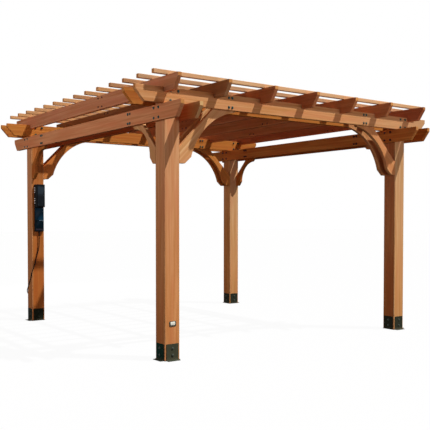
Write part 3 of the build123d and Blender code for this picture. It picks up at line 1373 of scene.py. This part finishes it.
@dataclass
class Fastenings:
    """Every bolt of the timber frame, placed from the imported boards.

    The bolts stand one above the other in pairs: two pairs at each post, two near each brace's
    tip, and two near the middle of each rafter, a little to the front and the rear in turn.
    """

    post_half_gap: float = 0.039
    brace_half_gap: float = 0.019
    upper_brace_inset: float = 0.085
    lower_brace_inset: float = 0.060
    splice_half_gap: float = 0.040
    splice_odd: float = -0.430
    splice_even: float = 0.447
    splice_washer: float = 0.0095
    splice_head: float = 0.0075
    splice_head_height: float = 0.005
    edge: float = 0.025

    def levels(self, name: str) -> tuple[float, float]:
        """The heights of a board's lower and upper bolts."""
        low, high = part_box(name)
        return low.z + self.edge, high.z - self.edge

    def beam_bolts(self, row: BoltRow, beam: str, side: Side, back: Side, places: list[float]) -> None:
        """Adds the bolts through one doubled beam.

        Args:
            row: The row that gets them.
            beam: What the names of its two boards start with: the outer has the heads.
            side: The way the outer face looks.
            back: The way the inner face looks.
            places: Where the bolts are along the beam.
        """
        axis = 1 if side in (Side.FRONT, Side.REAR) else 0
        outer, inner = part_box(beam + "outer"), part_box(beam + "inner")
        outward = side in (Side.RIGHT, Side.REAR)
        head_at = outer[1][axis] if outward else outer[0][axis]
        nut_at = inner[0][axis] if outward else inner[1][axis]
        for height in self.levels(beam + "outer"):
            for place in places:
                head = Vector((place, head_at, height)) if axis else Vector((head_at, place, height))
                nut = Vector((place, nut_at, height)) if axis else Vector((nut_at, place, height))
                row.heads.append((head, side))
                row.nuts.append((nut, back))

    def along(self, axis: int, brace: str, corners: Sequence[str], inset: float) -> list[float]:
        """Finds where the bolts are along a beam: at its posts and near its braces' tips.

        Args:
            axis: The beam's axis.
            brace: What the names of its two braces start with.
            corners: The corners of its two posts and braces.
            inset: How far the brace bolts are from the braces' tips.

        Returns:
            The places, in metres.
        """
        found = []
        for corner in corners:
            middle = sum(point[axis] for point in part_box("post_" + corner)) / 2
            reach = min((point[axis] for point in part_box(brace + corner)), key=abs)
            tip = reach + math.copysign(inset, middle)
            for centre, gap in ((middle, self.post_half_gap), (tip, self.brace_half_gap)):
                found += [centre - gap, centre + gap]
        return found

    def build(self) -> None:
        """Makes the bolts of the beams, the braces and the rafters."""
        upper, left = BoltRow("upper_beam_bolts"), BoltRow("lower_beam_left_bolts")
        right = BoltRow("lower_beam_right_bolts", coat=BROWN_COAT)
        for depth, side, back in (("front", Side.FRONT, Side.REAR), ("rear", Side.REAR, Side.FRONT)):
            corners = (f"{depth}_left", f"{depth}_right")
            places = self.along(0, "brace_upper_", corners, self.upper_brace_inset)
            self.beam_bolts(upper, f"upper_beam_{depth}_", side, back, places)
        for row, hand, side, back in (
            (left, "left", Side.LEFT, Side.RIGHT),
            (right, "right", Side.RIGHT, Side.LEFT),
        ):
            corners = (f"front_{hand}", f"rear_{hand}")
            places = self.along(1, "brace_lower_", corners, self.lower_brace_inset)
            self.beam_bolts(row, f"lower_beam_{hand}_", side, back, places)
        for row in (upper, left, right):
            row.build("shoe_steel")

        splices = BoltRow(
            "rafter_splice_bolts",
            washer=self.splice_washer,
            head=self.splice_head,
            head_height=self.splice_head_height,
            nut=self.splice_head,
            coat=BROWN_COAT,
        )
        for number, name in enumerate(packed("rafter_"), 1):
            low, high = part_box(name)
            middle = self.splice_odd if number % 2 else self.splice_even
            for height in self.levels(name):
                for place in (middle - self.splice_half_gap, middle + self.splice_half_gap):
                    splices.heads.append((Vector((low.x, place, height)), Side.LEFT))
                    splices.nuts.append((Vector((high.x, place, height)), Side.RIGHT))
        splices.build("shoe_steel")


@dataclass
class SlatScrews:
    """Countersunk screws that hold each slat down on each rafter."""

    radius: float = 0.0045
    sunk: float = 0.001
    steps: int = 8
    # The cross recess is drawn as a round dimple: its rim and floor, as shares of the radius.
    dimple: tuple[float, float] = (0.7, 0.3)
    dimple_depths: tuple[float, float] = (0.0002, 0.0008)

    def build(self) -> None:
        """Makes one piece of all the screws' heads."""
        radius, (rim, floor), (shallow, deep) = self.radius, self.dimple, self.dimple_depths
        profile = [
            (0, -self.sunk),
            (radius, -self.sunk),
            (radius, 0.0),
            (rim * radius, -shallow),
            (floor * radius, -deep),
            (0, -deep),
        ]
        shape = bmesh.new()
        for slat in packed("slat_"):
            low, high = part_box(slat)
            for rafter in packed("rafter_"):
                middle = sum(corner.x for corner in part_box(rafter)) / 2
                centre = Vector((middle, (low.y + high.y) / 2, high.z))
                add_turned(shape, profile, self.steps, Matrix.Translation(centre))
        make_piece("slat_screws", shape, SCREW_METAL)


@dataclass
class PostShoes:
    """The four steel shoes, with two domed bolts in each of their plates."""

    heights: tuple[float, float] = (0.046, 0.106)
    plate: float = 0.004
    eased: float = 0.0008
    washer: float = 0.0112
    head: float = 0.0098
    head_height: float = 0.006
    # The rear left shoe and its bolts get darker coats: painted shade.
    coats: dict[str, CoatedSteel] = field(
        default_factory=lambda: {"front_left": PALE_FRONT_SHOE_COAT, "rear_left": SHADED_SHOE_COAT}
    )
    bolt_coats: dict[str, CoatedSteel] = field(default_factory=lambda: {"rear_left": SHADED_SHOE_BOLT_COAT})

    def build(self) -> None:
        """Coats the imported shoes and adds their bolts."""
        for corner in ("front_left", "front_right", "rear_left", "rear_right"):
            dress_part(f"post_shoe_{corner}", self.coats.get(corner, SHOE_COAT), self.eased, 1)
            low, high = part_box(f"post_{corner}")
            middle = (low + high) / 2
            row = BoltRow(
                f"shoe_bolts_{corner}",
                washer=self.washer,
                head=self.head,
                head_height=self.head_height,
                coat=self.bolt_coats.get(corner, SHOE_BOLT_COAT),
            )
            for height in self.heights:
                row.heads += [
                    (Vector((low.x - self.plate, middle.y, height)), Side.LEFT),
                    (Vector((high.x + self.plate, middle.y, height)), Side.RIGHT),
                    (Vector((middle.x, low.y - self.plate, height)), Side.FRONT),
                    (Vector((middle.x, high.y + self.plate, height)), Side.REAR),
                ]
            row.build("shoe_steel")


# ---------------------------------------------------------------- fittings


@dataclass
class BadgePlate:
    """A small blank plate on the front left post: a grey frame round an ivory field."""

    frame_rounding: Rounding = Rounding(corner=0.009, edge=0.0008)
    recess: Recess = Recess(border=0.0035, depth=0.0012, lean=0.0006)
    left: float = 0.013
    right: float = 0.010
    bottom: float = 0.0115
    top: float = 0.004
    field_front: float = 0.0002
    field_back: float = 0.0005
    field_rounding: Rounding = Rounding(corner=0.007, edge=0.0005)

    def build(self) -> None:
        """Makes the frame and its blank field."""
        low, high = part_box("badge_plate")
        rim = make_plate(
            "badge_frame", low, high, self.frame_rounding, BADGE_COAT, self.recess
        )
        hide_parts("badge_plate")
        face = make_plate(
            "badge_blank_field",
            (low.x + self.left, low.y + self.field_front, low.z + self.bottom),
            (high.x - self.right, high.y - self.field_back, high.z - self.top),
            self.field_rounding,
            BADGE_FACE,
        )
        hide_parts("badge_plate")


@dataclass
class PowerUnit:
    """Weatherproof power unit: a black housing with a slate panel over a smoked flip cover."""

    # The housing is two shells round a core, parted by a seam at a share of its depth.
    shell_radius: float = 0.005
    rear_radius: float = 0.003
    shell_recess: Recess = Recess(border=0.004, depth=0.002, lean=0.0004)
    seam_share: float = 0.62
    seam: float = 0.0015
    core_inset: float = 0.0025
    core_reach: float = 0.004
    # Six vents stand a little proud of each side: their length and height, and where they are.
    vent: tuple[float, float] = (0.027, 0.013)
    vent_heights: tuple[float, ...] = (0.229, 0.2015, 0.1775, 0.102, 0.0765, 0.049)
    vent_from_wall: float = 0.0165
    vent_proud: float = 0.0006
    vent_radius: float = 0.0005
    # The panel's face stands out of its frame, whose margins are on its left and right, below and above.
    panel_frame: Rounding = Rounding(corner=0.004, edge=0.001)
    panel_frame_front: float = 0.0015
    panel_frame_back: float = 0.002
    panel_margins: tuple[float, float, float, float] = (0.004, 0.0015, 0.010, 0.020)
    panel_face: Rounding = Rounding(corner=0.006, edge=0.0008)
    panel_recess: Recess = Recess(border=0.0025, depth=0.0006, lean=0.0003)
    # The cover's body lies behind its panes, which meet at a split; heights are from its underside.
    body_front: float = 0.002
    body_radius: float = 0.006
    body_recess: Recess = Recess(border=0.003, depth=0.0012, lean=0.0003)
    split: float = 0.134
    foot: float = 0.040
    pane_gap: float = 0.0015
    pane_top: float = 0.010
    pane_side: float = 0.004
    pane_depths: tuple[float, float] = (0.0008, 0.006)
    pane: Rounding = Rounding(corner=0.003, edge=0.001)
    # The latch closes the right half of the split, from below it to just above it.
    latch_overlap: float = 0.003
    latch_heights: tuple[float, float] = (-0.0045, 0.001)
    latch_depth: float = 0.008
    latch: Rounding = Rounding(corner=0.0018, edge=0.0008)
    strip_side: float = 0.010
    strip_heights: tuple[float, float] = (0.018, 0.031)
    strip_depths: tuple[float, float] = (0.001, 0.006)
    strip: Rounding = Rounding(corner=0.002, edge=0.0006)

    def build(self) -> None:
        """Makes the housing, its vents and panel, and the cover with its panes, latch and strip."""
        self.build_housing()
        self.build_vents()
        self.build_panel()
        self.build_cover()

    def build_housing(self) -> None:
        """Makes the two-part housing, parted by a fine seam."""
        low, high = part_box("power_unit_housing")
        part_at = low.y + self.seam_share * (high.y - low.y)
        shape = bmesh.new()
        faces = add_block(shape, low, (high.x, part_at - self.seam / 2, high.z), self.shell_radius)
        sink_front(shape, faces, self.shell_recess)
        add_block(shape, (low.x, part_at + self.seam / 2, low.z), high, self.rear_radius, 2)
        inset, reach = self.core_inset, self.core_reach
        add_block(
            shape,
            (low.x + inset, part_at - reach, low.z + inset),
            (high.x - inset, part_at + reach, high.z - inset),
        )
        piece = make_piece("power_unit_housing_shell", shape, HOUSING_ABS, smooth=True)
        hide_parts("power_unit_housing")

    def build_vents(self) -> None:
        """Makes the pale vents on both sides of the housing."""
        low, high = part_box("power_unit_housing")
        long, tall = self.vent
        middle, proud = high.y - self.vent_from_wall, self.vent_proud
        shape = bmesh.new()
        for height in self.vent_heights:
            for side in (low.x, high.x):
                add_block(
                    shape,
                    (side - proud, middle - long / 2, low.z + height - tall / 2),
                    (side + proud, middle + long / 2, low.z + height + tall / 2),
                    self.vent_radius,
                    2,
                )
        make_piece("power_unit_vents", shape, VENT_ABS, smooth=True)

    def build_panel(self) -> None:
        """Makes the slate panel in a black frame that is widest at the top."""
        low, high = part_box("power_unit_panel")
        rim = make_plate(
            "power_unit_panel_frame",
            (low.x, low.y + self.panel_frame_front, low.z),
            (high.x, high.y + self.panel_frame_back, high.z),
            self.panel_frame,
            HOUSING_ABS,
        )
        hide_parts("power_unit_panel")
        left, right, bottom, top = self.panel_margins
        face = make_plate(
            "power_unit_panel_face",
            (low.x + left, low.y, low.z + bottom),
            (high.x - right, high.y, high.z - top),
            self.panel_face,
            PANEL_ABS,
            self.panel_recess,
        )
        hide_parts("power_unit_panel")

    def build_cover(self) -> None:
        """Makes the flip cover: body, blue upper pane, dark lower pane, latch and bottom strip."""
        low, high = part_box("power_unit_cover")
        shape = bmesh.new()
        faces = add_block(shape, (low.x, low.y + self.body_front, low.z), high, self.body_radius, 4)
        sink_front(shape, faces, self.body_recess)
        body = make_piece("power_unit_cover_body", shape, COVER_PC, smooth=True)
        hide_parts("power_unit_cover")

        split = low.z + self.split
        left, right = low.x + self.pane_side, high.x - self.pane_side
        front, back = (low.y + depth for depth in self.pane_depths)
        for name, bottom, top, finish in (
            ("power_unit_upper_pane", split + self.pane_gap, high.z - self.pane_top, WINDOW_PC),
            ("power_unit_lower_pane", low.z + self.foot, split - self.pane_gap, LOWER_PC),
        ):
            make_plate(name, (left, front, bottom), (right, back, top), self.pane, finish)

        left = (low.x + high.x) / 2 - self.latch_overlap
        bottom, top = (split + height for height in self.latch_heights)
        make_plate(
            "power_unit_latch",
            (left, low.y, bottom),
            (right, low.y + self.latch_depth, top),
            self.latch,
            LATCH_ABS,
        )
        front, back = (low.y + depth for depth in self.strip_depths)
        bottom, top = (low.z + height for height in self.strip_heights)
        make_plate(
            "power_unit_cover_strip",
            (low.x + self.strip_side, front, bottom),
            (high.x - self.strip_side, back, top),
            self.strip,
            LABEL_ABS,
        )


@dataclass
class SupplyCord:
    """The power unit's short lead: down its post, round the side and into its plug behind."""

    diameter: float = 0.010
    length: float = 0.985
    resolution: int = 10
    # The strain relief is a collar and a sleeve of ribs that taper towards the lead.
    relief: float = 0.030
    relief_radius: float = 0.0088
    relief_wall: float = 0.0006
    relief_steps: int = 20
    collar_rim: float = 0.001
    collar_height: float = 0.003
    hidden: float = 0.0005
    ribs: int = 5
    rib_groove: float = 0.0010
    rib_slope: float = 0.0004
    # The plug, from its pins' tips upwards: pins, body, three flat ribs and a neck round the lead.
    shoulder: float = 0.016
    body_height: float = 0.027
    body_radius: float = 0.005
    grips: int = 3
    grip_start: float = 0.030
    grip_spacing: float = 0.006
    grip_height: float = 0.004
    grip_reach: float = 0.0100
    grip_taper: float = 0.0012
    grip_flatness: float = 0.85
    grip_radius: float = 0.0012
    neck: float = 0.0062
    neck_start: float = 0.020
    neck_radius: float = 0.0028
    pin_spacing: float = 0.0125
    pin: tuple[float, float] = (0.0015, 0.0063)
    pin_root: float = 0.004
    pin_radius: float = 0.0005
    clip_radius: float = 0.0015
    # Points of the route, from the post's centre and up from the ground.
    ROUTE: ClassVar[tuple[tuple[float, float, float], ...]] = (
        (0.008, -0.089, 1.067),
        (0.008, -0.089, 1.012),
        (0.0065, -0.089, 0.950),
        (0.004, -0.0885, 0.884),
        (-0.011, -0.088, 0.818),
        (-0.029, -0.087, 0.752),
        (-0.043, -0.086, 0.690),
        (-0.060, -0.0865, 0.640),
        (-0.084, -0.085, 0.590),
        (-0.0805, -0.057, 0.540),
        (-0.0805, -0.018, 0.490),
        (-0.0805, 0.018, 0.440),
        (-0.0805, 0.050, 0.396),
        (-0.082, 0.084, 0.350),
        (-0.062, 0.088, 0.304),
        (-0.046, 0.087, 0.262),
        (-0.038, 0.095, 0.206),
        (-0.038, 0.095, 0.150),
    )

    def points(self) -> list[Vector]:
        """Puts the route in the frame.

        Returns:
            Its points, from the cover to the plug.
        """
        low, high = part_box("post_rear_left")
        middle = (low + high) / 2
        return [Vector((middle.x + x, middle.y + y, z)) for x, y, z in self.ROUTE]

    def lead(self, points: list[Vector]) -> bpy.types.Object:
        """Makes the lead as one smooth curve.

        Args:
            points: Its control points.

        Returns:
            The curve.
        """
        curve = bpy.data.curves.new("supply_lead", "CURVE")
        curve.dimensions = "3D"
        spline = curve.splines.new("NURBS")
        spline.points.add(len(points) - 1)
        for point, place in zip(spline.points, points):
            point.co = (*place, 1.0)
        spline.order_u = 3
        spline.use_endpoint_u = True
        curve.resolution_u = self.resolution
        curve.render_resolution_u = self.resolution
        curve.bevel_depth = self.diameter / 2
        curve.bevel_resolution = 4
        curve.use_fill_caps = True
        curve.materials.append(CORD_PVC.material())
        lead = bpy.data.objects.new("supply_lead", curve)
        bpy.context.scene.collection.objects.link(lead)
        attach(lead, "root")
        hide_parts("supply_cord")
        return lead

    def strain_relief(self, exit_point: Vector) -> bpy.types.Object:
        """Makes the ribbed, tapered sleeve round the lead's exit.

        Args:
            exit_point: Where the lead leaves the cover.

        Returns:
            The sleeve.
        """
        wide, slim = self.relief_radius, self.diameter / 2 + self.relief_wall
        rim, collar, groove = wide + self.collar_rim, self.collar_height, self.rib_groove
        profile = [(0, self.hidden), (rim, self.hidden), (rim, -collar)]
        step = (self.relief - collar - 0.001) / self.ribs
        for rib in range(self.ribs):
            top = -collar - rib * step
            radius = wide + (slim - wide) * rib / self.ribs
            # Each rib is 0.6 of its step long; the groove below it slopes in and stays at its depth.
            profile += [
                (radius, top - self.rib_slope),
                (radius, top - 0.6 * step),
                (radius - groove, top - 0.7 * step),
                (radius - groove, top - 0.95 * step),
            ]
        profile += [(slim, self.hidden - self.relief), (0, -self.relief)]
        shape = bmesh.new()
        add_turned(shape, profile, self.relief_steps, Matrix.Translation(exit_point))
        return make_piece("supply_strain_relief", shape, CORD_PVC, smooth=True)

    def plug(self) -> list[bpy.types.Object]:
        """Makes the moulded plug and its two flat pins.

        Returns:
            The plug's body and its pins.
        """
        low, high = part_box("supply_plug")
        middle = (low + high) / 2
        shoulder = low.z + self.shoulder
        shape = bmesh.new()
        top = shoulder + self.body_height
        add_block(shape, (low.x, low.y, shoulder), (high.x, high.y, top), self.body_radius, 4)
        for grip in range(self.grips):
            top = shoulder + self.grip_start + grip * self.grip_spacing
            wide = self.grip_reach - grip * self.grip_taper
            flat = self.grip_flatness * wide
            add_block(
                shape,
                (middle.x - wide, middle.y - flat, top - self.grip_height),
                (middle.x + wide, middle.y + flat, top),
                self.grip_radius,
                2,
            )
        add_block(
            shape,
            (middle.x - self.neck, middle.y - self.neck, shoulder + self.neck_start),
            (middle.x + self.neck, middle.y + self.neck, high.z - self.hidden),
            self.neck_radius,
        )
        body = make_piece("supply_plug_body", shape, CORD_PVC, smooth=True)
        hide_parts("supply_plug")
        shape = bmesh.new()
        thick, broad = self.pin
        for side in (-0.5, 0.5):
            x = middle.x + side * self.pin_spacing
            add_block(
                shape,
                (x - thick / 2, middle.y - broad / 2, low.z),
                (x + thick / 2, middle.y + broad / 2, shoulder + self.pin_root),
                self.pin_radius,
                2,
            )
        pins = make_piece("supply_plug_pins", shape, PIN_METAL, smooth=True)
        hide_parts("supply_plug")
        return [body, pins]

    def build(self) -> None:
        """Makes the lead, its strain relief and its plug, and dresses its clip."""
        points = self.points()
        lead = self.lead(points)
        with_pieces = [self.strain_relief(points[0]), *self.plug()]
        dress_part("cord_clip", HOUSING_ABS, self.clip_radius, 3)


# ---------------------------------------------------------------- stage


@dataclass(frozen=True)
class SoftBox:
    """A studio soft box, with the level that it gives a matt white face at its reach."""

    name: str
    level: float
    place: tuple[float, float, float]
    size: tuple[float, float]
    facing: tuple[float, float, float]
    reach: float

    def build(self, colour: str) -> None:
        """Hangs the soft box.

        Args:
            colour: Its light's hex colour.
        """
        data = bpy.data.lights.new(self.name, "AREA")
        data.shape = "RECTANGLE"
        data.size, data.size_y = self.size
        data.energy = self.level * (math.pi * self.reach) ** 2
        data.color = linear(colour)[:3]
        lamp = bpy.data.objects.new(self.name, data)
        lamp.location = self.place
        lamp.rotation_mode = "QUATERNION"
        lamp.rotation_quaternion = (-Vector(self.facing)).to_track_quat("Z", "Y")
        lamp.visible_camera = False
        bpy.context.scene.collection.objects.link(lamp)


@dataclass
class Stage:
    """The pale floor, the plain light and the camera."""

    floor_half: float = 60.0
    sky: float = 0.045
    horizon: float = 0.55
    horizon_falloff: float = 4.0
    sky_colour: str = "#FFE3DE"
    sun: float = 1.42
    sun_towards: tuple[float, float, float] = (0.370, -0.375, 0.850)
    sun_spread: float = 1.0
    box_colour: str = "#FFF0EF"
    boxes: tuple[SoftBox, ...] = (
        SoftBox("left_box", 0.53, (-4.6, 0.0, 2.3), (4.6, 0.8), (1.0, 0.0, 0.0), 3.05),
        SoftBox("front_box", 0.31, (0.8, -6.2, 1.6), (3.0, 1.5), (0.0, 1.0, 0.0), 4.6),
        SoftBox("rear_box", 0.31, (0.0, 6.2, 1.8), (4.0, 1.5), (0.0, -1.0, 0.0), 4.6),
    )
    camera_at: tuple[float, float, float] = (-4.748375, -6.638273, 1.211346)
    camera_turn: float = 35.579
    camera_tilt: float = -1.552
    lens: float = 59.13
    sensor: float = 36.0
    shift: tuple[float, float] = (0.01816, 0.05466)
    clip: tuple[float, float] = (0.1, 400.0)

    def build(self) -> None:
        """Makes the floor, the sky, the lamps and the camera."""
        self.build_floor()
        self.build_sky()
        self.build_sun()
        for box in self.boxes:
            box.build(self.box_colour)
        self.build_camera()

    def build_floor(self) -> None:
        """Makes the floor, which isn't part of the pergola."""
        shape = bmesh.new()
        bmesh.ops.create_grid(shape, x_segments=1, y_segments=1, size=self.floor_half)
        mesh = bpy.data.meshes.new("studio_floor")
        shape.to_mesh(mesh)
        shape.free()
        mesh.materials.append(StudioFloor("studio_floor_paint", roughness=0.9, specular=0.0).material())
        floor = bpy.data.objects.new("studio_floor", mesh)
        bpy.context.scene.collection.objects.link(floor)

    def build_sky(self) -> None:
        """Makes the soft sky light, strongest at the horizon, which a viewer sees as plain white."""
        world = bpy.data.worlds.new("studio")
        world.use_nodes = True
        tree = world.node_tree
        tree.nodes.clear()
        towards = add_node(tree, "TexCoord").outputs["Generated"]
        height = add_node(tree, "SeparateXYZ", {"Vector": towards}).outputs["Z"]
        near = add_node(tree, "Math", {0: 1.0, 1: height}, operation="SUBTRACT", use_clamp=True).outputs[0]
        near = add_node(tree, "Math", {0: near, 1: self.horizon_falloff}, operation="POWER").outputs[0]
        levels = {0: near, 1: self.horizon, 2: self.sky}
        level = add_node(tree, "Math", levels, operation="MULTIPLY_ADD").outputs[0]
        dim = add_node(tree, "Background", {"Color": linear(self.sky_colour), "Strength": level})
        white = add_node(tree, "Background", {"Color": (1.0, 1.0, 1.0, 1.0), "Strength": 1.0})
        skies = {0: seen_rays(tree), 1: dim.outputs["Background"], 2: white.outputs["Background"]}
        add_node(tree, "OutputWorld", {"Surface": add_node(tree, "MixShader", skies).outputs["Shader"]})
        bpy.context.scene.world = world

    def build_sun(self) -> None:
        """Makes the sun, at the level that it gives a matt white face that looks at it."""
        data = bpy.data.lights.new("sun", "SUN")
        data.energy = self.sun * math.pi
        data.angle = math.radians(self.sun_spread)
        lamp = bpy.data.objects.new("sun", data)
        lamp.rotation_mode = "QUATERNION"
        lamp.rotation_quaternion = Vector(self.sun_towards).to_track_quat("Z", "Y")
        bpy.context.scene.collection.objects.link(lamp)

    def build_camera(self) -> None:
        """Makes the camera, at a standing child's eye height off the front left corner."""
        data = bpy.data.cameras.new("camera")
        data.lens = self.lens
        data.sensor_width = self.sensor
        data.shift_x, data.shift_y = self.shift
        data.clip_start, data.clip_end = self.clip
        camera = bpy.data.objects.new("camera", data)
        camera.location = self.camera_at
        camera.rotation_euler = (math.radians(90 + self.camera_tilt), 0.0, math.radians(-self.camera_turn))
        bpy.context.scene.collection.objects.link(camera)
        bpy.context.scene.camera = camera


def main() -> None:
    """Builds the stage and then each part of the pergola."""
    logging.basicConfig(level=logging.INFO, format="%(name)s: %(message)s")
    bpy.context.scene.view_settings.view_transform = "Standard"
    for builder in (
        Stage(),
        SupplyCord(),
        TimberFrame(),
        Fastenings(),
        SlatScrews(),
        PostShoes(),
        BadgePlate(),
        PowerUnit(),
    ):
        LOG.info("building %s", type(builder).__name__)
        builder.build()


if __name__ == "__main__":
    main()
